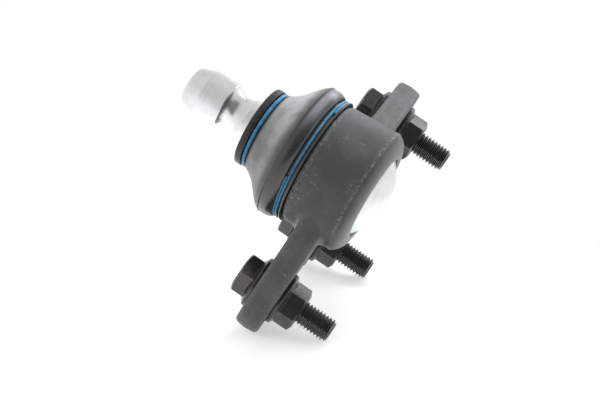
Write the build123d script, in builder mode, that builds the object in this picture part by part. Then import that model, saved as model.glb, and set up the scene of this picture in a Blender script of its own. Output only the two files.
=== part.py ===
from build123d import *
import os
from math import acos, cos, degrees, radians, sin, sqrt, tan

# Lower suspension ball joint with a three-bolt flange and a clamped stud.
# Millimetres. Origin at the ball's centre, +Z square to the flange on the stud side,
# +Y towards the rear bolt, the two ears along X.

# Stud axis
stud_lean = 7.0             # degrees, stud axis leaning towards the rear bolt
swing_limit = 25.0          # degrees, how far the stud swings from its axis

# Ball stud, heights along the stud axis from the ball's centre
ball_r = 13.5
ball_flat_z = -11.0         # flat on the ball's underside
shank_r = 7.6               # shank where it leaves the ball
shank_fillet = 1.5
shoulder_r = 8.6            # parallel length that carries the boot collar
shoulder_z = 32.0
shoulder_round = 1.2        # rounding where the shoulder meets the pinch-bolt groove
groove_z = 44.6             # lower edge of the pinch-bolt groove
groove_depth = 2.0          # of the groove below its lower edge
clamp_r = 10.0              # clamped length of the stud
clamp_z = 53.7
clamp_length = 10.0
lead_in_r = 7.7             # small end of the lead-in cone
lead_in_length = 5.6
stud_end_fillet = 1.5
stud_edge_break = 0.5

# Forged flange
flange_t = 10.0
draft = 7.0                 # degrees, both sides of the parting line at mid thickness
ear_x = 44.0                # bolt holes in the two ears
ear_y = 31.0
ear_r = 17.6
rear_y = 71.0               # bolt hole at the rear
rear_r = 15.5
notch_r = 14.0              # rounding between the arms
flange_edge_r = 1.6
top_root_r = 2.0            # fillet from flange to barrel, stud side
under_root_r = 3.0          # and cap side

# Barrel
barrel_r = 25.8             # at its cap end
barrel_taper = 0.7          # how much smaller its radius is at the neck
barrel_end_z = -9.0         # where its side turns into the rolled lip
neck_z = 11.5               # shoulder under the machined neck
neck_step = 0.6             # width of that shoulder
neck_strip = 0.9            # machined strip below the boot groove
boot_groove_depth = 1.9
boot_groove_h = 3.4
neck_lip_step = 0.5         # the lip over the groove is this much below the strip
neck_lip_h = 1.4
bore_cone_z = 2.5           # where the bore starts to close over the ball
throat_overhang = 0.8       # how far the throat closes over the ball
throat_z = 7.3
throat_land = 0.7
mouth_clearance = 1.2       # round the shank at the end of its swing

# Closing cap and the lip that is rolled over it
cap_t = 2.5
cap_ledge = 2.9             # width of the step that the cap seats on
cap_seat_z = -9.5
cap_rim = 2.1               # flat rim round the dome
cap_dome_h = 7.0
cap_clearance = 0.05
lip_t = 1.2
lip_lap = 1.6               # how far the rolled lip covers the cap
lip_bulge = 1.6             # of the lip's rounding, off the straight line across it

# Ball seats
seat_gap = 0.1              # between the ball and its seats
seat_outer_gap = 0.1
seat_wall = 2.3             # at the ball's widest
seat_top_z = 6.4
seat_split = 0.6            # half the gap between the two seats
lower_seat_z = -7.9
spring_t = 0.8
spring_lap = 0.5            # the spring's bore is this much wider than the seat's
spring_gap = 0.4            # between the spring and the bore of the housing

# Dust boot
boot_gap = 0.3              # between the boot and what it seals on
boot_wall = 2.0
boot_foot_wall = 1.9
ridge_step = 1.4            # the boot's widest line stands out from its foot by this
ridge_z = 21.9
dome_mid_r = 20.0
dome_mid_z = 29.6
boot_neck_step = 0.2        # waist under the collar
boot_neck_z = 34.9
collar_wall = 7.5
collar_top_z = 40.2
collar_bottom_z = 33.2
collar_edge_r = 0.9

# Clamp rings
upper_ring_z = 36.2
upper_ring_wire_r = 0.9
upper_ring_sink = 1.1       # its centre line lies this deep in the collar
lower_ring_z = 14.8
lower_wire_r = 0.5
lower_ring_sink = 0.6       # and this deep in the foot
wire_pitch = 1.06
wire_turns = 1.8
wire_start = 296.0          # degrees about the stud axis from +X, the end on the housing side
wire_sides = 12             # flats round the wire, few enough to keep its long coil light

# Flange bolts and nuts, M10
thread_r = 5.0
pitch_r = 4.5               # thread's pitch radius, where bolt and nut meet
hole_r = 5.3
bolt_length = 34.0
bolt_end_chamfer = 1.2
hex_flats = 16.0
head_h = 8.8
head_turn = 11.0            # degrees, one corner of the head's hexagon from +X
nut_h = 10.0
nut_turn = 41.0             # degrees, one corner of the nut's hexagon from +X
hex_chamfer = 1.1
bearing_r = 10.9
bearing_rim = 1.6
bearing_cone_h = 1.5

# Worked out from the above
lean = radians(stud_lean)
swing = radians(swing_limit)
stud_dir = (0, sin(lean), cos(lean))
stud_axis = Axis((0, 0, 0), stud_dir)
profile = Plane(origin=(0, 0, 0), x_dir=(1, 0, 0), z_dir=(0, -cos(lean), sin(lean)))
top_z = flange_t / 2
bottom_z = -flange_t / 2
bolt_spots = {"left": (-ear_x, ear_y), "right": (ear_x, ear_y), "rear": (0, rear_y)}
eye_radii = {"left": ear_r, "right": ear_r, "rear": rear_r}
barrel_top_r = barrel_r - barrel_taper
neck_r = barrel_top_r - neck_step
boot_groove_r = neck_r - boot_groove_depth
neck_lip_r = neck_r - neck_lip_step
groove_floor_z = neck_z + neck_strip
neck_top_z = groove_floor_z + boot_groove_h + neck_lip_h
seat_r = ball_r + seat_gap
seat_outer_r = seat_r + seat_wall
bore_r = seat_outer_r + seat_outer_gap
throat_r = ball_r - throat_overhang
mouth_r = neck_top_z * tan(swing) + shank_r / cos(swing) + mouth_clearance
cap_r = bore_r + cap_ledge
cap_dome_r = cap_r - cap_rim
lip_inner_r = cap_r - lip_lap
cap_bottom_z = cap_seat_z - cap_t
lip_z = cap_bottom_z - cap_clearance - lip_t
clamp_end_z = clamp_z + clamp_length
stud_end_z = clamp_end_z + lead_in_length + stud_end_fillet
ball_exit_z = sqrt(ball_r**2 - shank_r**2)


def save(part, name):
    part.label = name
    export_step(part, "parts/" + name + ".step")
    print(name, "volume", round(part.volume, 1))


def arm_outline(spot, eye_r):
    """Outline of one flange arm, its sides touching the barrel and the eye of its bolt."""
    arm = Vector(*spot)
    turn = degrees(acos((boot_groove_r - eye_r) / arm.length))
    left, right = [arm.normalized().rotate(Axis.Z, side * turn) for side in (1, -1)]
    with BuildSketch() as outline:
        Circle(boot_groove_r)
        with Locations(spot):
            Circle(eye_r)
        with BuildLine():
            Polyline(
                left * boot_groove_r, arm + left * eye_r, arm + right * eye_r,
                right * boot_groove_r, close=True)
        make_face()
    return outline.sketch


def rings_at(build, height, beyond=0.0):
    """Round edges about the stud axis at one height, wider than a given radius."""
    rings = build.edges().filter_by(GeomType.CIRCLE)
    return [
        edge for edge in rings
        if abs(Vector(*stud_dir).dot(edge.arc_center) - height) < 0.01 and edge.radius > beyond]


def root_edges(height):
    """Edges where one face of the flange meets the barrel."""
    flat = housing.edges().filter_by_position(Axis.Z, height - 0.01, height + 0.01)
    foot = Vector(0, height * sin(lean), height)
    return [edge for edge in flat if neck_lip_r < (edge @ 0.5 - foot).length < barrel_r + 1]


def on_seat(height):
    """Radius of the seats' hollow at a height along the stud axis."""
    return sqrt(seat_r**2 - height**2)


def sag_arc(radius, height, depth):
    """Arc of a dome, from its rim at radius to the stud axis, depth below."""
    dome = (radius**2 + depth**2) / (2 * depth)
    half = radius / 2
    drop = depth - dome + sqrt(dome**2 - half**2)
    return ThreePointArc((radius, height), (half, height - drop), (0, height - depth))


def hexagon(seat, height, turn):
    """Hexagon standing on a seat, its far corners turned off to a cone."""
    with BuildSketch(seat) as blank:
        RegularPolygon(hex_flats / 2, 6, major_radius=False, rotation=turn)
    extrude(blank.sketch, amount=height)
    corner_r = hex_flats / sqrt(3)
    side = Plane(origin=seat.origin, x_dir=seat.x_dir, z_dir=seat.x_dir.cross(seat.z_dir))
    with BuildSketch(side) as turned:
        with BuildLine():
            Polyline(
                (0, 0), (corner_r, 0), (corner_r, height - hex_chamfer),
                (hex_flats / 2 - hex_chamfer, height), (0, height), close=True)
        make_face()
    revolve(turned.sketch, axis=Axis(seat.origin, seat.z_dir), mode=Mode.INTERSECT)


def bearing(seat):
    """Round flange under a bolt head or nut: a rim, then a cone up to the hexagon."""
    with BuildSketch(seat) as rim:
        Circle(bearing_r)
    extrude(rim.sketch, amount=bearing_rim)
    with BuildSketch(seat.offset(bearing_rim)) as cone_foot:
        Circle(bearing_r)
    with BuildSketch(seat.offset(bearing_rim + bearing_cone_h)) as cone_top:
        Circle(hex_flats / 2)
    loft([cone_foot.sketch, cone_top.sketch])


os.makedirs("parts", exist_ok=True)

# Forged housing
arms = [arm_outline(bolt_spots[side], eye_radii[side]) for side in bolt_spots]
with BuildSketch() as flange_outline:
    add(arms)
    offset(amount=notch_r)
    offset(amount=-notch_r)

with BuildPart() as housing:
    extrude(flange_outline.sketch, amount=flange_t / 2, taper=draft)
    extrude(flange_outline.sketch, amount=flange_t / 2, dir=(0, 0, -1), taper=draft)
    faces = housing.faces().filter_by(Axis.Z)
    fillet(faces.edges(), flange_edge_r)
    with BuildSketch(profile):
        with BuildLine():
            SagittaArc((lip_inner_r, lip_z), (barrel_r, barrel_end_z), -lip_bulge)
            Polyline(
                (barrel_r, barrel_end_z), (barrel_top_r, neck_z), (neck_r, neck_z),
                (neck_r, groove_floor_z), (boot_groove_r, groove_floor_z),
                (boot_groove_r, groove_floor_z + boot_groove_h),
                (neck_lip_r, groove_floor_z + boot_groove_h), (neck_lip_r, neck_top_z),
                (0, neck_top_z), (0, lip_z), (lip_inner_r, lip_z))
        make_face()
    revolve(axis=stud_axis)
    with BuildSketch(profile):
        with BuildLine():
            Polyline(
                (0, neck_top_z), (mouth_r, neck_top_z), (throat_r, throat_z + throat_land),
                (throat_r, throat_z), (bore_r, bore_cone_z), (bore_r, cap_seat_z),
                (cap_r + cap_clearance, cap_seat_z),
                (cap_r + cap_clearance, cap_bottom_z - cap_clearance),
                (lip_inner_r, cap_bottom_z - cap_clearance), (lip_inner_r, lip_z), (0, lip_z),
                close=True)
        make_face()
    revolve(axis=stud_axis, mode=Mode.SUBTRACT)
    with Locations(*[(x, y, top_z) for x, y in bolt_spots.values()]):
        Hole(hole_r, flange_t)
    fillet(root_edges(bottom_z), under_root_r)
    fillet(root_edges(top_z), top_root_r)
save(housing.part, "housing")

# Ball stud
flat_r = sqrt(ball_r**2 - ball_flat_z**2)
groove_mid = ((clamp_r + shoulder_r) / 2 - groove_depth, (groove_z + clamp_z) / 2)
with BuildPart() as ball_stud:
    with BuildSketch(profile):
        with BuildLine():
            Polyline((0, stud_end_z), (0, ball_flat_z), (flat_r, ball_flat_z))
            ThreePointArc((flat_r, ball_flat_z), (ball_r, 0), (shank_r, ball_exit_z))
            Polyline((shank_r, ball_exit_z), (shoulder_r, shoulder_z), (shoulder_r, groove_z))
            ThreePointArc((shoulder_r, groove_z), groove_mid, (clamp_r, clamp_z))
            Polyline(
                (clamp_r, clamp_z), (clamp_r, clamp_end_z), (lead_in_r, stud_end_z),
                (0, stud_end_z))
        make_face()
    revolve(axis=stud_axis)
    fillet(rings_at(ball_stud, stud_end_z), stud_end_fillet)
    fillet(rings_at(ball_stud, clamp_z), stud_edge_break)
    fillet(rings_at(ball_stud, groove_z), shoulder_round)
    fillet(rings_at(ball_stud, ball_exit_z), shank_fillet)
save(ball_stud.part, "ball_stud")

# Ball seats and the disc spring that loads them
cone_slope = (bore_r - throat_r) / (throat_z - bore_cone_z)
seat_top_outer_r = seat_outer_r - (seat_top_z - bore_cone_z) * cone_slope
upper_mid_z = seat_top_z / 2
lower_mid_z = lower_seat_z / 2
with BuildPart() as upper_seat:
    with BuildSketch(profile):
        with BuildLine():
            ThreePointArc(
                (on_seat(seat_top_z), seat_top_z), (on_seat(upper_mid_z), upper_mid_z),
                (on_seat(seat_split), seat_split))
            Polyline(
                (on_seat(seat_split), seat_split), (seat_outer_r, seat_split),
                (seat_outer_r, bore_cone_z - seat_outer_gap), (seat_top_outer_r, seat_top_z),
                (on_seat(seat_top_z), seat_top_z))
        make_face()
    revolve(axis=stud_axis)
save(upper_seat.part, "upper_seat")

with BuildPart() as lower_seat:
    with BuildSketch(profile):
        with BuildLine():
            ThreePointArc(
                (on_seat(seat_split), -seat_split), (on_seat(lower_mid_z), lower_mid_z),
                (on_seat(lower_seat_z), lower_seat_z))
            Polyline(
                (on_seat(lower_seat_z), lower_seat_z), (seat_outer_r, lower_seat_z),
                (seat_outer_r, -seat_split), (on_seat(seat_split), -seat_split))
        make_face()
    revolve(axis=stud_axis)
save(lower_seat.part, "lower_seat")

# The spring's inner edge bears on the lower seat, its outer edge on the cap
spring_inner_r = on_seat(lower_seat_z) + spring_lap
spring_outer_r = bore_r - spring_gap
with BuildPart() as disc_spring:
    with BuildSketch(profile):
        with BuildLine():
            Polyline(
                (spring_inner_r, lower_seat_z), (spring_inner_r, lower_seat_z - spring_t),
                (spring_outer_r, cap_seat_z), (spring_outer_r, cap_seat_z + spring_t),
                close=True)
        make_face()
    revolve(axis=stud_axis)
save(disc_spring.part, "disc_spring")

# Closing cap, pressed from sheet
with BuildPart() as end_cap:
    with BuildSketch(profile):
        with BuildLine():
            sag_arc(cap_dome_r, cap_bottom_z, cap_dome_h)
            Polyline((0, cap_bottom_z - cap_dome_h), (0, cap_seat_z - cap_dome_h))
            sag_arc(cap_dome_r - cap_t, cap_seat_z, cap_dome_h)
            Polyline(
                (cap_dome_r - cap_t, cap_seat_z), (cap_r, cap_seat_z), (cap_r, cap_bottom_z),
                (cap_dome_r, cap_bottom_z))
        make_face()
    revolve(axis=stud_axis)
save(end_cap.part, "end_cap")

# Dust boot: foot in the housing's groove, bellows, collar on the stud
foot_z = groove_floor_z + boot_gap
foot_top_z = groove_floor_z + boot_groove_h - boot_gap
foot_r = boot_groove_r + boot_gap
over_lip_r = neck_lip_r + boot_gap
boot_foot_r = over_lip_r + boot_foot_wall
ridge_r = boot_foot_r + ridge_step
bore_of_boot = shoulder_r + boot_gap
collar_r = bore_of_boot + collar_wall
boot_neck_r = collar_r - boot_neck_step
inner_neck_r = boot_neck_r - boot_wall
dome_wall = boot_wall / sqrt(2)     # across and along, where the dome slopes at 45 degrees
lower_ring_r = boot_foot_r - lower_ring_sink
lower_groove_r = lower_ring_r - lower_wire_r - boot_gap
lower_groove_h = wire_turns * wire_pitch / 2 + lower_wire_r
upper_ring_r = collar_r - upper_ring_sink
upper_groove_r = upper_ring_r - upper_ring_wire_r - boot_gap
upper_groove_h = upper_ring_wire_r + boot_gap
with BuildPart() as dust_boot:
    with BuildSketch(profile):
        with BuildLine():
            Polyline(
                (over_lip_r, neck_top_z + boot_gap), (over_lip_r, foot_top_z), (foot_r, foot_top_z),
                (foot_r, foot_z), (boot_foot_r, foot_z),
                (boot_foot_r, lower_ring_z - lower_groove_h),
                (lower_groove_r, lower_ring_z - lower_groove_h),
                (lower_groove_r, lower_ring_z + lower_groove_h),
                (boot_foot_r, lower_ring_z + lower_groove_h))
            Spline(
                (boot_foot_r, lower_ring_z + lower_groove_h), (ridge_r, ridge_z),
                (dome_mid_r, dome_mid_z), (boot_neck_r, boot_neck_z))
            Polyline(
                (boot_neck_r, boot_neck_z), (upper_groove_r, upper_ring_z - upper_groove_h),
                (upper_groove_r, upper_ring_z + upper_groove_h),
                (collar_r, upper_ring_z + upper_groove_h), (collar_r, collar_top_z),
                (bore_of_boot, collar_top_z), (bore_of_boot, collar_bottom_z),
                (inner_neck_r, collar_bottom_z))
            Spline(
                (inner_neck_r, collar_bottom_z), (dome_mid_r - dome_wall, dome_mid_z - dome_wall),
                (ridge_r - boot_wall, ridge_z), (over_lip_r, neck_top_z + boot_gap))
        make_face()
    revolve(axis=stud_axis)
    fillet(rings_at(dust_boot, collar_top_z, bore_of_boot + boot_gap), collar_edge_r)
save(dust_boot.part, "dust_boot")

# Clamp rings: one thick ring at the collar, a double-wound wire at the foot
with BuildPart() as upper_ring:
    with BuildSketch(profile):
        with Locations((upper_ring_r, upper_ring_z)):
            Circle(upper_ring_wire_r)
    revolve(axis=stud_axis)
save(upper_ring.part, "upper_ring")

coil_h = wire_turns * wire_pitch
coil_start = Vector(*stud_dir) * (lower_ring_z - coil_h / 2)
coil_seat = Plane(origin=coil_start, x_dir=(1, 0, 0), z_dir=stud_dir)
with BuildPart() as lower_ring:
    with BuildLine() as coil:
        Helix(wire_pitch, coil_h, lower_ring_r)
    with BuildSketch(coil.line ^ 0):
        RegularPolygon(lower_wire_r, wire_sides)
    sweep(path=coil.line)
save(lower_ring.part.moved(coil_seat.location * Rotation(0, 0, wire_start)), "lower_ring")

# Flange bolts from the stud side, flange nuts on the cap side. The thread is a plain
# cylinder at its outer radius, and at its pitch radius where the nut grips it.
for side in bolt_spots:
    x, y = bolt_spots[side]
    seat = Plane(origin=(x, y, top_z))
    under = Plane(origin=(x, y, bottom_z), x_dir=(1, 0, 0), z_dir=(0, 0, -1))
    with BuildPart() as bolt:
        hexagon(seat, head_h, head_turn)
        bearing(seat)
        with BuildSketch(seat):
            Circle(thread_r)
        extrude(amount=-bolt_length)
        ends = bolt.edges().filter_by(GeomType.CIRCLE).sort_by(Axis.Z)
        chamfer(ends[0], bolt_end_chamfer)
        with BuildSketch(under) as gripped:
            Circle(thread_r)
            Circle(pitch_r, mode=Mode.SUBTRACT)
        extrude(gripped.sketch, amount=nut_h, mode=Mode.SUBTRACT)
    save(bolt.part, "bolt_" + side)
    with BuildPart() as nut:
        hexagon(under, nut_h, -nut_turn)
        bearing(under)
        with BuildSketch(under):
            Circle(pitch_r)
        extrude(amount=nut_h, mode=Mode.SUBTRACT)
    save(nut.part, "nut_" + side)
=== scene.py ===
import math
import bpy
from mathutils import Matrix, Vector
from mathutils.geometry import interpolate_bezier


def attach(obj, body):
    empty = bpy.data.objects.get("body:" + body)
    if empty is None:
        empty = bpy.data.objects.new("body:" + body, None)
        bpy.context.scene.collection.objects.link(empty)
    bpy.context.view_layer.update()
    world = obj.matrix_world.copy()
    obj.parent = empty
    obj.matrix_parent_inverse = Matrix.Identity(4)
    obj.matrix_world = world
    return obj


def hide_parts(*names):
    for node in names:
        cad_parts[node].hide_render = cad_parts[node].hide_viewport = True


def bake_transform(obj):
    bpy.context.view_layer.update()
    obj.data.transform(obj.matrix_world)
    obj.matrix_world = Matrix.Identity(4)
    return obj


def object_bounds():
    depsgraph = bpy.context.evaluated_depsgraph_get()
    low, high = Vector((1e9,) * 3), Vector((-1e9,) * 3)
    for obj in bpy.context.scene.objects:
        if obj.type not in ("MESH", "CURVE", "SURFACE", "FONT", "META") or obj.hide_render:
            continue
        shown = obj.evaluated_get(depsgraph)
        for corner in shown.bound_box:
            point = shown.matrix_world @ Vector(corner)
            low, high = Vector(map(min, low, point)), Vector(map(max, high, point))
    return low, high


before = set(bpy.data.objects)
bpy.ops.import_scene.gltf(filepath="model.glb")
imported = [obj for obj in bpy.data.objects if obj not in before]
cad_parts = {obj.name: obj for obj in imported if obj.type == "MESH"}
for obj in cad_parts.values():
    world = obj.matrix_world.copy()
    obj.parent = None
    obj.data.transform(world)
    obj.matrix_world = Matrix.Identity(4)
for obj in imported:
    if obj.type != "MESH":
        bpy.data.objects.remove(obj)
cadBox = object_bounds()
mm = 0.001  # sizes below are in millimetres, as on a drawing

# Suspension ball joint lying on its side: forged three-bolt housing, grooved stud, rubber boot,
# two blue clamp rings, three flange bolts with nuts.
layout = {"lean": 7.0, "flangeTop": 5.0, "flangeUnder": -5.0}
lean = math.radians(layout["lean"])
studAxis = Vector((0, math.sin(lean), math.cos(lean)))
boltSpots = {"left": (-44.0, 31.0), "right": (44.0, 31.0), "rear": (0.0, 71.0)}


# Selecting and shaping

def deselectAll():
    if bpy.context.object and bpy.context.object.mode != "OBJECT":
        bpy.ops.object.mode_set(mode="OBJECT")
    bpy.ops.object.select_all(action="DESELECT")


def makeActive(piece):
    deselectAll()
    piece.select_set(True)
    bpy.context.view_layer.objects.active = piece


def editAll(piece):
    makeActive(piece)
    bpy.ops.object.mode_set(mode="EDIT")
    bpy.ops.mesh.select_mode(type="VERT")
    bpy.ops.mesh.select_all(action="SELECT")


def objectMode():
    bpy.ops.object.mode_set(mode="OBJECT")


def drawLine(name, points):  # edges through (radius, height) points, in the XZ plane
    corners = [Vector((r, 0, z)) * mm for r, z in points]
    deselectAll()
    bpy.ops.mesh.primitive_plane_add(size=mm)
    line = bpy.context.object
    line.name = name
    line.data.name = name
    editAll(line)
    bpy.ops.mesh.merge(type="CENTER")
    bpy.ops.transform.translate(value=corners[0])
    for last, corner in zip(corners, corners[1:]):
        bpy.ops.mesh.extrude_vertices_move(TRANSFORM_OT_translate={"value": corner - last})
    objectMode()
    return line


def closeUp(piece, gap=0.0005):  # joins doubled points, then turns every face outwards
    editAll(piece)
    bpy.ops.mesh.remove_doubles(threshold=gap * mm)
    bpy.ops.mesh.normals_make_consistent(inside=False)
    objectMode()


def spinRound(piece, steps):
    editAll(piece)
    bpy.ops.mesh.spin(steps=steps, angle=math.tau, center=(0, 0, 0), axis=(0, 0, 1))
    closeUp(piece)


def applyModifiers(piece):
    makeActive(piece)
    for modifier in list(piece.modifiers):
        bpy.ops.object.modifier_apply(modifier=modifier.name)


def cutWith(piece, tool, operation):  # the tool is used up
    boolean = piece.modifiers.new("cut", "BOOLEAN")
    boolean.operation = operation
    boolean.solver = "EXACT"
    boolean.object = tool
    applyModifiers(piece)
    bpy.data.objects.remove(tool)


def breakEdges(piece, width, angle=35, segments=2):
    bevel = piece.modifiers.new("edges", "BEVEL")
    bevel.width = width * mm
    bevel.segments = segments
    bevel.limit_method = "ANGLE"
    bevel.angle_limit = math.radians(angle)
    applyModifiers(piece)


def setDown(piece, place=(0, 0, 0), turn=(0, 0, 0), smooth=30):
    piece.location = Vector(place) * mm
    piece.rotation_euler = turn
    makeActive(piece)
    bpy.ops.object.transform_apply(location=True, rotation=True, scale=True)
    bpy.ops.object.shade_smooth_by_angle(angle=math.radians(smooth))


def arc(start, middle, end, steps):  # quadratic curve pulled towards its middle point
    points = []
    for step in range(steps + 1):
        t = step / steps
        spread = [(1 - t) ** 2, 2 * t * (1 - t), t ** 2]
        points.append(tuple(
            sum(share * point[axis] for share, point in zip(spread, (start, middle, end)))
            for axis in (0, 1)))
    return points


def curve(start, leave, arrive, end, steps):
    knots = [Vector((r, z)) for r, z in (start, leave, arrive, end)]
    return [tuple(point) for point in interpolate_bezier(*knots, steps + 1)]


# Material nodes

def partCoords(tree):
    return addNode(tree, "TexCoord").outputs["Object"]


def startMaterial(name, colour, rough, metal=0.0):
    material = bpy.data.materials.new(name)
    material.use_nodes = True
    tree = material.node_tree
    shader = tree.nodes["Principled BSDF"]
    shader.inputs["Base Color"].default_value = (*colour, 1)
    shader.inputs["Roughness"].default_value = rough
    shader.inputs["Metallic"].default_value = metal
    return material, tree, shader, partCoords(tree)


def addNode(tree, kind, sockets=None, **settings):
    made = tree.nodes.new("ShaderNode" + kind)
    for name, value in settings.items():
        setattr(made, name, value)
    for name, value in (sockets or {}).items():
        if isinstance(value, bpy.types.NodeSocket):
            tree.links.new(value, made.inputs[name])
        else:
            made.inputs[name].default_value = value
    return made


def noise(tree, coords, size, detail=4.0, rough=0.55, bent=0.0):  # size of a blotch in millimetres
    sockets = {"Vector": coords, "Scale": 1 / (size * mm), "Detail": detail, "Roughness": rough,
               "Distortion": bent}
    return addNode(tree, "TexNoise", sockets).outputs["Fac"]


def stretched(tree, coords, turn, scale):
    sockets = {"Vector": coords, "Rotation": turn, "Scale": scale}
    return addNode(tree, "Mapping", sockets).outputs["Vector"]


def ramp(tree, value, low, high, start=0.0, end=1.0, steps="SMOOTHSTEP"):
    sockets = {"Value": value, "From Min": low, "From Max": high, "To Min": start, "To Max": end}
    return addNode(tree, "MapRange", sockets, interpolation_type=steps).outputs["Result"]


def rampMm(tree, value, low, high, start=0.0, end=1.0, steps="SMOOTHSTEP"):  # limits in mm
    return ramp(tree, value, low * mm, high * mm, start, end, steps)


def calc(tree, operation, first, second=0.0):
    return addNode(tree, "Math", {0: first, 1: second}, operation=operation).outputs[0]


def blendColours(tree, share, first, second):
    mix = addNode(tree, "Mix", data_type="RGBA")
    for socket, value in ((mix.inputs[0], share), (mix.inputs[6], first), (mix.inputs[7], second)):
        if isinstance(value, bpy.types.NodeSocket):
            tree.links.new(value, socket)
        elif isinstance(value, tuple):
            socket.default_value = (*value, 1)
        else:
            socket.default_value = value
    return mix.outputs[2]


def tinted(tree, base, mask, share, colour):  # a colour laid thinly over what is there
    return blendColours(tree, calc(tree, "MULTIPLY", mask, share), base, colour)


def alongAxis(tree, coords):  # height and radius about the stud's axis, in metres
    dot = addNode(tree, "VectorMath", {0: coords, 1: studAxis}, operation="DOT_PRODUCT")
    cross = addNode(tree, "VectorMath", {0: coords, 1: studAxis}, operation="CROSS_PRODUCT")
    reach = addNode(tree, "VectorMath", {0: cross.outputs[0]}, operation="LENGTH")
    return dot.outputs["Value"], reach.outputs["Value"]


def edgeWear(tree, radius, flat=0.995, sharp=0.90):  # 0 on open faces, up to 1 on a sharp edge
    worn = addNode(tree, "Bevel", {"Radius": radius * mm}, samples=6)
    plain = addNode(tree, "NewGeometry")
    sockets = {0: worn.outputs[0], 1: plain.outputs["Normal"]}
    turned = addNode(tree, "VectorMath", sockets, operation="DOT_PRODUCT")
    return ramp(tree, turned.outputs["Value"], flat, sharp)


def bumpInto(tree, shader, height, depth):
    bump = addNode(tree, "Bump", {"Height": height, "Distance": depth * mm, "Strength": 1.0})
    tree.links.new(bump.outputs["Normal"], shader.inputs["Normal"])


# Finishes

midBand = (0.3, 0.7)  # where most of a noise pattern lies


def roughen(tree, shader, grain, limits):  # rougher where the grain is high
    tree.links.new(ramp(tree, grain, *midBand, *limits), shader.inputs["Roughness"])


forgingFinish = {
    "dark": (0.094, 0.095, 0.087), "light": (0.119, 0.124, 0.127), "worn": (0.27, 0.27, 0.265),
    "nick": (0.40, 0.40, 0.38), "pit": (0.026, 0.026, 0.025), "lip": (0.31, 0.31, 0.31),
    "metal": 0.15, "rough": 0.5, "roughBand": (0.42, 0.58), "wornGloss": 0.1,
    "blotchSize": 14.0, "blotchCut": (0.38, 0.64),
    "grainSize": 0.7, "speckleCut": (0.60, 0.75), "speckleShare": 0.22,
    "edge": 2.6, "edgeTurn": (0.9985, 0.97), "edgeShare": 0.85,
    "chipSize": 1.1, "chipCut": (0.46, 0.56),
    "shoulders": (11.4, -9.1), "shoulderBand": (0.35, 0.1), "shoulderShare": 0.7,
    "lipFrom": -10.2, "lipTo": -13.4, "lipR": 27.0, "lipFade": 0.3, "lipShare": 0.85,
    "handledSize": 10.0, "handledCut": (0.52, 0.66), "handledRise": 0.10,
    "nickSize": 0.48, "nickCut": (0.67, 0.72),
    "pitSize": 1.0, "pitCut": (0.73, 0.76), "pitShare": 0.6, "pitDepth": 0.9,
    "strokeTurns": ((0.5, 0.9, 0.3), (1.1, 0.2, 1.0)), "strokeFlat": 0.24, "strokeBend": 0.8,
    "skinSize": 3.2, "skinShare": 2.2, "skinDepth": 0.06}


def strokes(tree, coords, size, cut):  # short thin marks in two directions
    flat = forgingFinish["strokeFlat"]
    found = None
    for turn in forgingFinish["strokeTurns"]:
        streak = stretched(tree, coords, turn, (1.0, flat, flat))
        mark = ramp(tree, noise(tree, streak, size, 2.0, 0.5, forgingFinish["strokeBend"]), *cut)
        found = mark if found is None else calc(tree, "MAXIMUM", found, mark)
    return found


def forgingMaterial():
    finish = forgingFinish
    material, tree, shader, coords = startMaterial(
        "phosphatedForging", finish["dark"], finish["rough"], finish["metal"])
    blotches = ramp(tree, noise(tree, coords, finish["blotchSize"], 5.0), *finish["blotchCut"])
    base = blendColours(tree, blotches, finish["dark"], finish["light"])
    grain = noise(tree, coords, finish["grainSize"], 6.0, 0.65)
    speckle = ramp(tree, grain, *finish["speckleCut"])
    base = tinted(tree, base, speckle, finish["speckleShare"], finish["worn"])

    chips = ramp(tree, noise(tree, coords, finish["chipSize"], 5.0, 0.7), *finish["chipCut"])
    wear = calc(tree, "MULTIPLY", edgeWear(tree, finish["edge"], *finish["edgeTurn"]), chips)
    base = tinted(tree, base, wear, finish["edgeShare"], finish["worn"])

    height, reach = alongAxis(tree, coords)
    onBarrel = rampMm(tree, reach, finish["lipR"] + finish["lipFade"], finish["lipR"])
    for level in finish["shoulders"]:  # chipped lines at the barrel's two shoulders
        off = calc(tree, "ABSOLUTE", calc(tree, "SUBTRACT", height, level * mm))
        band = calc(tree, "MULTIPLY", rampMm(tree, off, *finish["shoulderBand"]), chips)
        band = calc(tree, "MULTIPLY", band, onBarrel)
        base = tinted(tree, base, band, finish["shoulderShare"], finish["worn"])
    rolled = rampMm(tree, height, finish["lipFrom"], finish["lipTo"], 0.0, finish["lipShare"], "LINEAR")
    base = tinted(tree, base, rolled, onBarrel, finish["lip"])

    rise = rampMm(tree, height, 0.0, finish["shoulders"][0], 0.0, finish["handledRise"])
    handled = calc(tree, "ADD", noise(tree, coords, finish["handledSize"], 3.0), rise)
    handled = ramp(tree, handled, *finish["handledCut"])
    pits = strokes(tree, coords, finish["pitSize"], finish["pitCut"])
    base = tinted(tree, base, pits, finish["pitShare"], finish["pit"])
    nicks = strokes(tree, coords, finish["nickSize"], finish["nickCut"])
    base = tinted(tree, base, nicks, handled, finish["nick"])
    tree.links.new(base, shader.inputs["Base Color"])

    rough = ramp(tree, grain, *midBand, *finish["roughBand"])
    rough = calc(tree, "SUBTRACT", rough, calc(tree, "MULTIPLY", wear, finish["wornGloss"]))
    tree.links.new(rough, shader.inputs["Roughness"])
    skin = calc(tree, "MULTIPLY", noise(tree, coords, finish["skinSize"], 4.0), finish["skinShare"])
    skin = calc(tree, "ADD", skin, grain)
    skin = calc(tree, "SUBTRACT", skin, calc(tree, "MULTIPLY", pits, finish["pitDepth"]))
    bumpInto(tree, shader, skin, finish["skinDepth"])
    return material


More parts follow.
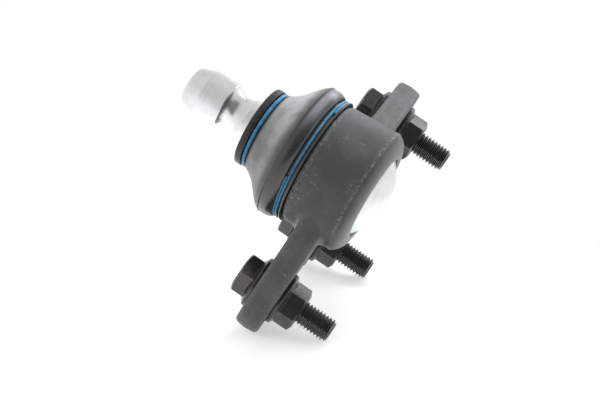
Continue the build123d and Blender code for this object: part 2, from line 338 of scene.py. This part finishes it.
steelFinish = {
    "base": (0.93, 0.93, 0.945), "dull": (0.84, 0.84, 0.855), "metal": 1.0,
    "rough": 0.30, "roughBand": (0.24, 0.36), "cloudSize": 6.0, "cloudCut": (0.35, 0.65),
    "lineSize": 0.16, "lineDepth": 0.006}


def brightSteelMaterial():  # fine turning marks round the stud's axis
    finish = steelFinish
    material, tree, shader, coords = startMaterial(
        "turnedSteel", finish["base"], finish["rough"], finish["metal"])
    cloud = ramp(tree, noise(tree, coords, finish["cloudSize"], 4.0), *finish["cloudCut"])
    base = blendColours(tree, cloud, finish["base"], finish["dull"])
    tree.links.new(base, shader.inputs["Base Color"])
    height, reach = alongAxis(tree, coords)
    rings = addNode(tree, "CombineXYZ", {"X": reach, "Y": 0.0, "Z": height}).outputs[0]
    lines = noise(tree, rings, finish["lineSize"], 3.0, 0.6)
    roughen(tree, shader, lines, finish["roughBand"])
    bumpInto(tree, shader, lines, finish["lineDepth"])
    return material


capFinish = {
    "base": (0.88, 0.90, 0.89), "dull": (0.80, 0.83, 0.815), "metal": 0.85,
    "rough": 0.36, "roughBand": (0.26, 0.44), "cloudSize": 5.0, "cloudCut": (0.40, 0.66),
    "grainSize": 0.35, "grainDepth": 0.012}


def zincCapMaterial():
    finish = capFinish
    material, tree, shader, coords = startMaterial(
        "zincCap", finish["base"], finish["rough"], finish["metal"])
    cloud = ramp(tree, noise(tree, coords, finish["cloudSize"], 6.0, 0.6), *finish["cloudCut"])
    base = blendColours(tree, cloud, finish["base"], finish["dull"])
    tree.links.new(base, shader.inputs["Base Color"])
    grain = noise(tree, coords, finish["grainSize"], 5.0, 0.6)
    roughen(tree, shader, grain, finish["roughBand"])
    bumpInto(tree, shader, grain, finish["grainDepth"])
    return material


oxideFinish = {
    "base": (0.090, 0.088, 0.087), "brown": (0.108, 0.101, 0.095), "worn": (0.42, 0.41, 0.40),
    "metal": 0.9, "rough": 0.28, "roughBand": (0.20, 0.32), "cloudSize": 4.0, "cloudCut": (0.40, 0.66),
    "edge": 0.4, "rubSize": 1.6, "rubCut": (0.36, 0.56), "rubLeast": 0.35, "wearAndPaintedHighlightShare": 0.8,
    "grainSize": 0.25, "grainDepth": 0.012}


def blackOxideMaterial():  # bolts and nuts, lighter along their edges: partly rubbed wear, partly a painted highlight
    finish = oxideFinish
    material, tree, shader, coords = startMaterial(
        "blackOxide", finish["base"], finish["rough"], finish["metal"])
    cloud = ramp(tree, noise(tree, coords, finish["cloudSize"], 5.0, 0.6), *finish["cloudCut"])
    base = blendColours(tree, cloud, finish["base"], finish["brown"])
    # the edge colour is partly rubbed wear and partly a painted highlight on the lit rims
    patches = noise(tree, coords, finish["rubSize"], 4.0, 0.6)
    rubbedAndHighlighted = ramp(tree, patches, *finish["rubCut"], finish["rubLeast"], 1.0)
    rubbedAndHighlighted = calc(tree, "MULTIPLY", edgeWear(tree, finish["edge"]), rubbedAndHighlighted)
    base = tinted(tree, base, rubbedAndHighlighted, finish["wearAndPaintedHighlightShare"], finish["worn"])
    tree.links.new(base, shader.inputs["Base Color"])
    grain = noise(tree, coords, finish["grainSize"], 4.0, 0.6)
    roughen(tree, shader, grain, finish["roughBand"])
    bumpInto(tree, shader, grain, finish["grainDepth"])
    return material


# the pale colour above the widest line is a painted reflection, and the pale patch on the roll is a
# painted highlight
rubberFinish = {
    "base": (0.030, 0.030, 0.031), "dust": (0.075, 0.074, 0.072), "paintedReflection": (0.31, 0.31, 0.305),
    "paintedHighlight": (0.30, 0.30, 0.33), "dustSize": 2.2, "dustCut": (0.45, 0.70), "dustShare": 0.4,
    "paintedReflectionFrom": 22.2, "paintedReflectionEdge": 22.4, "paintedReflectionFull": 26.5, "paintedReflectionUntil": 33.6, "paintedReflectionEnd": 35.0,
    "paintedReflectionLeast": 0.25, "cloudSize": 7.0, "cloudCut": (0.30, 0.62), "cloudLeast": 0.62, "sheen": 1.0,
    "paintedHighlightSide": (-6.0, 8.0), "paintedHighlightRise": (17.0, 19.0), "paintedHighlightFall": (21.6, 20.4), "wearAndPaintedHighlightShare": 0.72,
    "rough": 0.48, "roughBand": (0.40, 0.55), "rollGloss": 0.13, "specular": (0.5, 1.0),
    "grainSize": 0.30, "grainDepth": 0.02}


def bootRubberMaterial():  # pale painted reflection between the widest line and the collar, a glossier roll below with a painted highlight on its lit side
    finish = rubberFinish
    material, tree, shader, coords = startMaterial("bootRubber", finish["base"], finish["rough"])
    height = addNode(tree, "Attribute", attribute_name="height").outputs["Fac"]
    dust = ramp(tree, noise(tree, coords, finish["dustSize"], 6.0, 0.65), *finish["dustCut"])
    base = tinted(tree, finish["base"], dust, finish["dustShare"], finish["dust"])

    # painted reflection: the bellows above the widest line are painted pale in place of the white room
    # they would mirror
    rise = rampMm(tree, height, finish["paintedReflectionFrom"], finish["paintedReflectionFull"], finish["paintedReflectionLeast"], 1.0)
    rise = calc(tree, "MULTIPLY", rise, rampMm(tree, height, finish["paintedReflectionFrom"], finish["paintedReflectionEdge"]))
    fall = rampMm(tree, height, finish["paintedReflectionEnd"], finish["paintedReflectionUntil"])
    cloud = noise(tree, coords, finish["cloudSize"], 4.0, 0.6)
    cloud = ramp(tree, cloud, *finish["cloudCut"], finish["cloudLeast"], 1.0)
    paintedReflection = calc(tree, "MULTIPLY", calc(tree, "MULTIPLY", rise, fall), cloud)
    base = blendColours(tree, paintedReflection, base, finish["paintedReflection"])

    # painted highlight: a pale patch on the roll's lit side, across X and between two heights
    across = addNode(tree, "SeparateXYZ", {0: coords}).outputs["X"]
    paintedHighlight = rampMm(tree, across, *finish["paintedHighlightSide"], 0.0, finish["wearAndPaintedHighlightShare"])
    paintedHighlight = calc(tree, "MULTIPLY", paintedHighlight, rampMm(tree, height, *finish["paintedHighlightRise"]))
    paintedHighlight = calc(tree, "MULTIPLY", paintedHighlight, rampMm(tree, height, *finish["paintedHighlightFall"]))
    base = blendColours(tree, paintedHighlight, base, finish["paintedHighlight"])
    tree.links.new(base, shader.inputs["Base Color"])
    tree.links.new(calc(tree, "MULTIPLY", paintedReflection, finish["sheen"]), shader.inputs["Sheen Weight"])

    onRoll = rampMm(tree, height, finish["paintedReflectionEdge"], finish["paintedReflectionFrom"])
    rough = ramp(tree, paintedReflection, 0.0, 1.0, *finish["roughBand"])
    rough = calc(tree, "SUBTRACT", rough, calc(tree, "MULTIPLY", onRoll, finish["rollGloss"]))
    tree.links.new(rough, shader.inputs["Roughness"])
    specular = ramp(tree, onRoll, 0.0, 1.0, *finish["specular"])
    tree.links.new(specular, shader.inputs["Specular IOR Level"])
    grain = noise(tree, coords, finish["grainSize"], 5.0, 0.6)
    bumpInto(tree, shader, grain, finish["grainDepth"])
    return material


ringFinish = {
    "base": (0.045, 0.22, 0.43), "pale": (0.10, 0.35, 0.56), "rough": 0.34,
    "cloudSize": 2.0, "cloudCut": (0.35, 0.65), "grainSize": 0.3, "grainDepth": 0.008}


def blueRingMaterial():
    finish = ringFinish
    material, tree, shader, coords = startMaterial("blueRing", finish["base"], finish["rough"])
    cloud = ramp(tree, noise(tree, coords, finish["cloudSize"], 4.0), *finish["cloudCut"])
    base = blendColours(tree, cloud, finish["base"], finish["pale"])
    tree.links.new(base, shader.inputs["Base Color"])
    bumpInto(tree, shader, noise(tree, coords, finish["grainSize"], 3.0), finish["grainDepth"])
    return material


insideFinishes = {
    "seatPlastic": {"base": (0.62, 0.60, 0.52), "metal": 0.0, "rough": 0.45, "roughBand": (0.37, 0.53),
                    "grainSize": 0.6},
    "springSteel": {"base": (0.30, 0.29, 0.28), "metal": 1.0, "rough": 0.35, "roughBand": (0.27, 0.43),
                    "grainSize": 0.4}}
insideDepth = 0.01


def insideMaterial(name):  # seats and spring, which the housing hides
    finish = insideFinishes[name]
    material, tree, shader, coords = startMaterial(
        name, finish["base"], finish["rough"], finish["metal"])
    grain = noise(tree, coords, finish["grainSize"], 4.0)
    roughen(tree, shader, grain, finish["roughBand"])
    bumpInto(tree, shader, grain, insideDepth)
    return material


print("finishes")
forging = forgingMaterial()
brightSteel = brightSteelMaterial()
zincCap = zincCapMaterial()
blackOxide = blackOxideMaterial()
bootRubber = bootRubberMaterial()
blueRing = blueRingMaterial()
seatPlastic = insideMaterial("seatPlastic")
springSteel = insideMaterial("springSteel")

nodeFinishes = {
    "housing": forging, "ball_stud": brightSteel, "end_cap": zincCap, "upper_ring": blueRing,
    "upper_seat": seatPlastic, "lower_seat": seatPlastic, "disc_spring": springSteel}
for name, finish in nodeFinishes.items():
    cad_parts[name].data.materials.clear()
    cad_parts[name].data.materials.append(finish)


def dress(piece, body, slot, finish, *nodes):  # finish and place in the frame of one made piece
    piece.data.materials.clear()
    piece.data.materials.append(finish)
    if body:
        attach(piece, body)
    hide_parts(*nodes)


# Dust boot, a closed skin spun round the stud's axis

boot = {
    "footBottom": 12.75, "footR": 26.15, "footBore": 22.95, "footEdge": 0.3, "seatTop": 15.45,
    "lipBore": 24.35, "lipTop": 17.55, "ringFloorR": 24.95, "ringLow": 13.35, "ringHigh": 16.25,
    "ringEase": 0.2, "tuck": 0.1, "wall": 2.0, "ridgeR": 27.5, "ridgeZ": 21.9, "finH": 0.22,
    "finW": 0.34, "finUnder": (0.0, -0.4), "finOver": (-0.15, 0.45), "waistR": 20.1, "waistZ": 29.6,
    "neckR": 16.3, "neckZ": 34.9, "collarGrooveR": 14.5, "grooveLow": 35.25, "grooveHigh": 37.15,
    "collarEase": 0.25, "collarR": 16.4, "collarTop": 40.2, "collarCrown": 0.8, "collarBore": 8.95,
    "collarBottom": 33.2, "sealLip": (1.6, 1.3, 0.5), "sealDip": 0.9,
    "rollPull": ((1.55, 0.9), (0.35, -2.0)), "bellowsPull": ((-0.75, 2.15), (2.2, -2.1)),
    "throatPull": ((-1.8, 1.7), (0.9, -1.6)), "insidePull": ((1.6, -3.6), (-2.6, 4.6)),
    "innerRollPull": ((0.0, -2.5), (0.6, 1.2)), "steps": 128}


def moved(point, step):
    return point[0] + step[0], point[1] + step[1]


def pulled(start, pull, end, steps):  # curve whose handles are steps away from its two ends
    return curve(start, moved(start, pull[0]), moved(end, pull[1]), end, steps)


def bootOutside(b):
    edge, tuck, ease, crown = b["footEdge"], b["tuck"], b["ringEase"], b["collarCrown"]
    ridge, waist, neck = (b["ridgeR"], b["ridgeZ"]), (b["waistR"], b["waistZ"]), (b["neckR"], b["neckZ"])
    ringTop = (b["footR"] - tuck, b["ringHigh"])
    line = [(b["footBore"], b["footBottom"])]
    line += arc((b["footR"] - edge, b["footBottom"]), (b["footR"], b["footBottom"]),
                (b["footR"], b["footBottom"] + edge), 3)
    line += [(b["footR"] - tuck, b["ringLow"]), (b["ringFloorR"], b["ringLow"] + ease),
             (b["ringFloorR"], b["ringHigh"] - ease), ringTop]
    line += pulled(ringTop, b["rollPull"], moved(ridge, b["finUnder"]), 14)[1:]
    line += [moved(ridge, (b["finH"], -b["finW"] / 2)), moved(ridge, (b["finH"], b["finW"] / 2))]
    line += pulled(moved(ridge, b["finOver"]), b["bellowsPull"], waist, 14)
    line += pulled(waist, b["throatPull"], neck, 8)[1:]
    line += [(b["collarGrooveR"], b["grooveLow"]), (b["collarGrooveR"], b["grooveHigh"]),
             (b["collarR"] - tuck, b["grooveHigh"] + b["collarEase"]),
             (b["collarR"], b["grooveHigh"] + b["collarEase"] * 2)]
    return line + arc((b["collarR"], b["collarTop"] - crown), (b["collarR"], b["collarTop"]),
                      (b["collarR"] - crown, b["collarTop"]), 4)


def bootInside(b):
    dipOuter, dipFloor, dipInner = [b["collarBore"] + step for step in b["sealLip"]]
    rimZ, dipZ = b["collarTop"] - b["tuck"], b["collarTop"] - b["sealDip"]
    collar = (b["neckR"] - b["wall"], b["collarBottom"])
    widest = (b["ridgeR"] - b["wall"], b["ridgeZ"])
    lip = (b["lipBore"], b["lipTop"])
    line = [(dipOuter, rimZ), (dipFloor, dipZ), (dipInner, dipZ), (b["collarBore"], rimZ),
            (b["collarBore"], b["collarBottom"])]
    line += pulled(collar, b["insidePull"], widest, 14)
    line += pulled(widest, b["innerRollPull"], lip, 6)[1:]
    return line + [(b["lipBore"], b["seatTop"]), (b["footBore"], b["seatTop"]),
                   (b["footBore"], b["footBottom"])]


print("dust boot")
dustBoot = drawLine("dustBoot", bootOutside(boot) + bootInside(boot))
spinRound(dustBoot, boot["steps"])
levels = dustBoot.data.attributes.new("height", "FLOAT", "POINT")
for vertex in dustBoot.data.vertices:
    levels.data[vertex.index].value = vertex.co.z
setDown(dustBoot, turn=(-lean, 0, 0), smooth=40)
dress(dustBoot, None, "boot_rubber", bootRubber, "dust_boot")
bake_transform(dustBoot)


# Lower clamp ring: one wire wound nearly twice round the boot's foot, with cut ends

wire = {"wireR": 0.5, "ringR": 25.55, "middle": 14.8, "pitch": 1.06, "from": 296.0, "turns": 1.8,
        "perTurn": 96, "around": 12}


def woundWire(name, w):
    deselectAll()
    bpy.ops.mesh.primitive_circle_add(
        vertices=w["around"], radius=w["wireR"] * mm, fill_type="NGON",
        location=(w["ringR"] * mm, 0, 0), rotation=(math.pi / 2, 0, 0))
    piece = bpy.context.object
    piece.name = name
    bpy.ops.object.transform_apply(location=True, rotation=True, scale=True)
    rise = w["pitch"] * mm / w["perTurn"]
    onward = Matrix.Rotation(math.tau / w["perTurn"], 4, "Z")
    editAll(piece)
    for step in range(round(w["turns"] * w["perTurn"])):
        bpy.ops.mesh.extrude_region_move(TRANSFORM_OT_translate={"value": (0, 0, rise)})
        objectMode()
        for vertex in piece.data.vertices:
            if vertex.select:
                vertex.co = onward @ vertex.co
        bpy.ops.object.mode_set(mode="EDIT")
    closeUp(piece)
    return piece


print("lower clamp ring")
lowerRing = woundWire("lowerClampRing", wire)
setDown(lowerRing, turn=(0, 0, math.radians(wire["from"])))
dropTo = wire["middle"] - wire["pitch"] * wire["turns"] / 2
setDown(lowerRing, place=studAxis * dropTo, turn=(-lean, 0, 0), smooth=50)
dress(lowerRing, "boot_foot", "blue_ring", blueRing, "lower_ring")


# Flange bolts and nuts, M10

bolt = {
    "threadR": 5.0, "rootR": 4.08, "pitch": 1.5, "threadSlope": 30.0, "crest": 1 / 16, "length": 34.0,
    "threadLength": 15.8, "endChamfer": 1.2, "threadTurns": 12, "lead": 1.5225, "perTurn": 40,
    "shankR": 4.6, "shankEnd": -20.0, "shankLap": 0.5, "flats": 16.0, "headH": 8.8, "headTurn": 11.0,
    "nutH": 10.0, "nutTurn": 41.0, "hexFoot": 0.2, "hexChamfer": 1.1, "hexSlope": 1.8, "hexFace": 0.9,
    "rimR": 10.9, "rimH": 1.6, "rimEdge": 0.35, "rimTop": (0.4, 0.12), "coneH": 1.5, "coneTopR": 8.1,
    "dishR": 5.6, "dishH": 0.4, "boreR": 4.9, "sink": 0.7, "edge": 0.3, "around": 72, "dishAround": 48}
toolOver = {"wide": 1.0, "flush": 0.02, "dish": 0.1}  # how far the cutting tools stand out


def addCylinder(name, radius, bottom, top, vertices=72, turn=0.0):
    deselectAll()
    bpy.ops.mesh.primitive_cylinder_add(
        vertices=vertices, radius=radius * mm, depth=(top - bottom) * mm,
        location=(0, 0, (bottom + top) / 2 * mm), rotation=(0, 0, math.radians(turn)))
    piece = bpy.context.object
    piece.name = name
    bpy.ops.object.transform_apply(location=True, rotation=True, scale=True)
    return piece


def flangedHex(name, height, turn, dish):  # stands on z 0: rim, cone, then a chamfered hexagon
    b = bolt
    wide, flush, over = toolOver["wide"], toolOver["flush"], toolOver["dish"]
    cornerR = b["flats"] / math.sqrt(3)
    piece = addCylinder(name, cornerR, b["hexFoot"], height, vertices=6, turn=turn - 30)
    chamferTool = drawLine("chamferTool", [
        (0, -wide), (cornerR + wide, -wide),
        (cornerR + wide, height - b["hexChamfer"] * (1 + 1 / b["hexSlope"])),
        (b["flats"] / 2 - b["hexFace"], height + flush), (0, height + flush)])
    spinRound(chamferTool, b["around"])
    cutWith(piece, chamferTool, "INTERSECT")
    if dish:
        hollow = drawLine("hollow", [
            (0, height - b["dishH"]), (b["dishR"] - b["dishH"], height - b["dishH"]),
            (b["dishR"] + over, height + over), (0, height + over)])
        spinRound(hollow, b["dishAround"])
        cutWith(piece, hollow, "DIFFERENCE")
    edge, rim, top = b["rimEdge"], b["rimR"], b["rimH"]
    flange = drawLine(
        "flange", [(0, 0)] + arc((rim - edge, 0), (rim, 0), (rim, edge), 3)
        + arc((rim, top - edge), (rim, top), (rim - b["rimTop"][0], top + b["rimTop"][1]), 3)
        + [(b["coneTopR"], top + b["coneH"]), (0, top + b["coneH"])])
    spinRound(flange, b["around"])
    cutWith(piece, flange, "UNION")
    return piece


def threadedEnd():  # a helix of thread, cut square at both ends, closed, then chamfered at its tip
    b = bolt
    tooth = (b["threadR"] - b["rootR"]) * math.tan(math.radians(b["threadSlope"]))
    crest = b["pitch"] * b["crest"]
    mid = b["pitch"] / 2
    thread = drawLine("thread", [
        (b["rootR"], 0), (b["rootR"], mid - crest - tooth), (b["threadR"], mid - crest),
        (b["threadR"], mid + crest), (b["rootR"], mid + crest + tooth), (b["rootR"], b["pitch"])])
    screw = thread.modifiers.new("screw", "SCREW")
    screw.axis = "Z"
    screw.angle = math.tau
    screw.screw_offset = b["pitch"] * mm
    screw.iterations = b["threadTurns"]
    screw.steps = b["perTurn"]
    screw.render_steps = b["perTurn"]
    applyModifiers(thread)
    tip = -b["length"]
    setDown(thread, place=(0, 0, tip - b["pitch"] * b["lead"]))
    closeUp(thread)  # one skin, so that both ends close
    for height, outer in ((tip, False), (tip + b["threadLength"], True)):
        editAll(thread)
        bpy.ops.mesh.bisect(plane_co=(0, 0, height * mm), plane_no=(0, 0, 1), use_fill=False,
                            clear_outer=outer, clear_inner=not outer, threshold=0.0001 * mm)
        objectMode()
    editAll(thread)
    bpy.ops.mesh.fill_holes(sides=0)
    objectMode()
    for vertex in thread.data.vertices:
        spread = math.hypot(vertex.co.x, vertex.co.y)
        room = (b["threadR"] - b["endChamfer"] - tip) * mm + vertex.co.z
        if spread > room:
            vertex.co.x *= room / spread
            vertex.co.y *= room / spread
    closeUp(thread)
    return thread


def makeBolt(side):
    b = bolt
    piece = flangedHex("flangeBolt_" + side, b["headH"], b["headTurn"], True)
    breakEdges(piece, b["edge"])
    shank = addCylinder("shank", b["shankR"], b["shankEnd"], b["shankLap"])
    cutWith(piece, shank, "UNION")
    thread = threadedEnd()
    makeActive(piece)
    thread.select_set(True)
    bpy.ops.object.join()
    x, y = boltSpots[side]
    setDown(piece, place=(x, y, layout["flangeTop"]), smooth=32)
    dress(piece, "housing", "black_oxide", blackOxide, "bolt_" + side)


def makeNut(side):
    b = bolt
    piece = flangedHex("flangeNut_" + side, b["nutH"], -b["nutTurn"], False)
    height, wide = b["nutH"], toolOver["wide"]
    drill = drawLine("drill", [
        (0, -wide), (b["boreR"] + b["sink"] + wide, -wide), (b["boreR"], b["sink"]),
        (b["boreR"], height - b["sink"]), (b["boreR"] + b["sink"] + wide, height + wide),
        (0, height + wide)])
    spinRound(drill, b["around"])
    cutWith(piece, drill, "DIFFERENCE")
    breakEdges(piece, b["edge"])
    x, y = boltSpots[side]
    setDown(piece, place=(x, y, layout["flangeUnder"]), turn=(math.pi, 0, 0), smooth=32)
    dress(piece, "housing", "black_oxide", blackOxide, "nut_" + side)


for side in boltSpots:
    print("bolt and nut", side)
    makeBolt(side)
    makeNut(side)


# Camera, seen in millimetres from the ball's centre

camera = {"place": (-196.5, -497.5, -12.0), "forward": (0.3390, 0.9399, 0.0407),
          "up": (0.7677, -0.3014, 0.5654), "lens": 84.0, "nearest": 10.0}


def placeCamera():
    forward = Vector(camera["forward"]).normalized()
    right = forward.cross(Vector(camera["up"])).normalized()
    up = right.cross(forward)
    made = bpy.data.objects.new("camera", bpy.data.cameras.new("camera"))
    bpy.context.scene.collection.objects.link(made)
    made.data.lens = camera["lens"]
    made.data.clip_start = camera["nearest"] * mm
    turn = Matrix((right, up, -forward)).transposed().to_4x4()
    made.matrix_world = Matrix.Translation(Vector(camera["place"]) * mm) @ turn
    bpy.context.scene.camera = made
    return forward


print("camera, floor and light")
viewForward = placeCamera()

floor = {"up": (0.6049, -0.6654, 0.4374), "size": 1600.0, "colour": (0.80, 0.80, 0.78),
         "glow": 0.50, "fadeFrom": 70.0, "fadeTo": 170.0}
floorUp = Vector(floor["up"]).normalized()


def lowestPoint(direction):  # how far the part reaches down against a direction
    return min(direction.dot(vertex.co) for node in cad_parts.values()
               for vertex in node.data.vertices)


def floorMaterial():
    material = bpy.data.materials.new("paperFloor")
    material.use_nodes = True
    tree = material.node_tree
    tree.nodes.clear()
    coords = partCoords(tree)
    reach = addNode(tree, "VectorMath", {0: coords}, operation="LENGTH").outputs["Value"]
    away = ramp(tree, reach, floor["fadeFrom"] * mm, floor["fadeTo"] * mm)
    paper = addNode(tree, "BsdfDiffuse", {"Color": (*floor["colour"], 1)})
    path = addNode(tree, "LightPath")
    seen = calc(tree, "MAXIMUM", path.outputs["Is Camera Ray"], path.outputs["Is Glossy Ray"])
    seen = calc(tree, "MAXIMUM", seen, path.outputs["Is Transmission Ray"])
    glow = addNode(tree, "Emission", {"Strength": calc(tree, "MULTIPLY", seen, floor["glow"])})
    near = addNode(tree, "AddShader", {0: paper.outputs[0], 1: glow.outputs[0]})
    white = addNode(tree, "Emission", {"Strength": seen})
    lit = addNode(tree, "MixShader", {0: away, 1: near.outputs[0], 2: white.outputs[0]})
    clear = addNode(tree, "BsdfTransparent")
    behind = addNode(tree, "NewGeometry").outputs["Backfacing"]
    whole = addNode(tree, "MixShader", {0: behind, 1: lit.outputs[0], 2: clear.outputs[0]})
    output = addNode(tree, "OutputMaterial")
    tree.links.new(whole.outputs[0], output.inputs["Surface"])
    return material


def placeFloor():
    deselectAll()
    bpy.ops.mesh.primitive_grid_add(x_subdivisions=8, y_subdivisions=8, size=floor["size"] * mm)
    made = bpy.context.object
    made.name = "floor"
    made.rotation_mode = "QUATERNION"
    made.rotation_quaternion = floorUp.to_track_quat("Z", "Y")
    centre = (cadBox[0] + cadBox[1]) / 2
    made.location = centre + floorUp * (lowestPoint(floorUp) - floorUp.dot(centre))
    made.data.materials.append(floorMaterial())


placeFloor()

lamps = {
    "key": {"from": (0.28, 0.82, -0.50), "away": 620.0, "size": 500.0, "power": 3.0,
            "colour": (0.86, 0.92, 1.0)},
    "fill": {"from": (-0.9, 0.45, 0.55), "away": 700.0, "size": 500.0, "power": 0.9,
             "colour": (1.0, 0.985, 0.90)},
    "side": {"from": (0.95, 0.35, 0.25), "away": 650.0, "size": 360.0, "power": 0.9,
             "colour": (1.0, 1.0, 1.0)}}


def placeLamps():
    centre = (cadBox[0] + cadBox[1]) / 2
    level = viewForward - floorUp * viewForward.dot(floorUp)
    level.normalize()
    across = level.cross(floorUp)
    for name, lamp in lamps.items():
        right, high, back = lamp["from"]
        toLamp = (across * right + floorUp * high - level * back).normalized()
        made = bpy.data.objects.new(name, bpy.data.lights.new(name, "AREA"))
        bpy.context.scene.collection.objects.link(made)
        made.data.shape = "DISK"
        made.data.size = lamp["size"] * mm
        made.data.energy = lamp["power"]
        made.data.color = lamp["colour"]
        made.visible_glossy = False
        made.location = centre + toLamp * lamp["away"] * mm
        made.rotation_mode = "QUATERNION"
        made.rotation_quaternion = toLamp.to_track_quat("Z", "Y")


placeLamps()

glint = {"place": (466.0, 110.0, -40.0), "wide": 130.0, "tall": 260.0, "power": 0.25,
         "colour": (0.88, 0.93, 1.0)}


def placeGlint():  # a tall lamp that shows only as a reflection, mostly on the nuts
    made = bpy.data.objects.new("glint", bpy.data.lights.new("glint", "AREA"))
    bpy.context.scene.collection.objects.link(made)
    made.data.shape = "RECTANGLE"
    made.data.size = glint["wide"] * mm
    made.data.size_y = glint["tall"] * mm
    made.data.energy = glint["power"]
    made.data.color = glint["colour"]
    made.visible_camera = False
    made.visible_diffuse = False
    made.location = Vector(glint["place"]) * mm
    made.rotation_mode = "QUATERNION"
    made.rotation_quaternion = Vector(glint["place"]).to_track_quat("Z", "Y")


placeGlint()

room = {"white": 1.0, "low": 1.12, "ceiling": 0.84, "slope": (0.1, 0.7), "dark": 0.24,
        "opening": (0.42, 0.58), "openingTop": (0.22, 0.06), "cloth": (0.8, 0.8, 0.8),
        "paper": (1.0, 1.0, 1.0)}


def paintRoom():  # a white tent round the part, dark where it opens in front
    world = bpy.data.worlds.new("room")
    world.use_nodes = True
    bpy.context.scene.world = world
    tree = world.node_tree
    tree.nodes.clear()
    direction = addNode(tree, "TexCoord").outputs["Generated"]
    front = addNode(tree, "VectorMath", {0: direction, 1: -viewForward}, operation="DOT_PRODUCT")
    low, high = room["opening"]
    above = addNode(tree, "VectorMath", {0: direction, 1: floorUp}, operation="DOT_PRODUCT")
    cloth = ramp(tree, above.outputs["Value"], *room["slope"], room["low"], room["ceiling"])
    along = addNode(tree, "VectorMath", {0: direction, 1: studAxis}, operation="DOT_PRODUCT")
    tent = calc(tree, "MULTIPLY", ramp(tree, front.outputs["Value"], low, high),
                ramp(tree, along.outputs["Value"], *room["openingTop"]))
    tent = calc(tree, "ADD", calc(tree, "MULTIPLY", calc(tree, "SUBTRACT", 1.0, tent), cloth),
                calc(tree, "MULTIPLY", tent, room["dark"]))
    path = addNode(tree, "LightPath")
    shade = blendColours(tree, path.outputs["Is Camera Ray"], room["cloth"], room["paper"])
    strength = addNode(tree, "Mix", data_type="FLOAT")
    tree.links.new(path.outputs["Is Camera Ray"], strength.inputs[0])
    tree.links.new(tent, strength.inputs[2])
    strength.inputs[3].default_value = room["white"]
    background = addNode(tree, "Background", {"Color": shade, "Strength": strength.outputs[0]})
    output = addNode(tree, "OutputWorld")
    tree.links.new(background.outputs[0], output.inputs["Surface"])


paintRoom()
bpy.context.scene.view_settings.view_transform = "Standard"
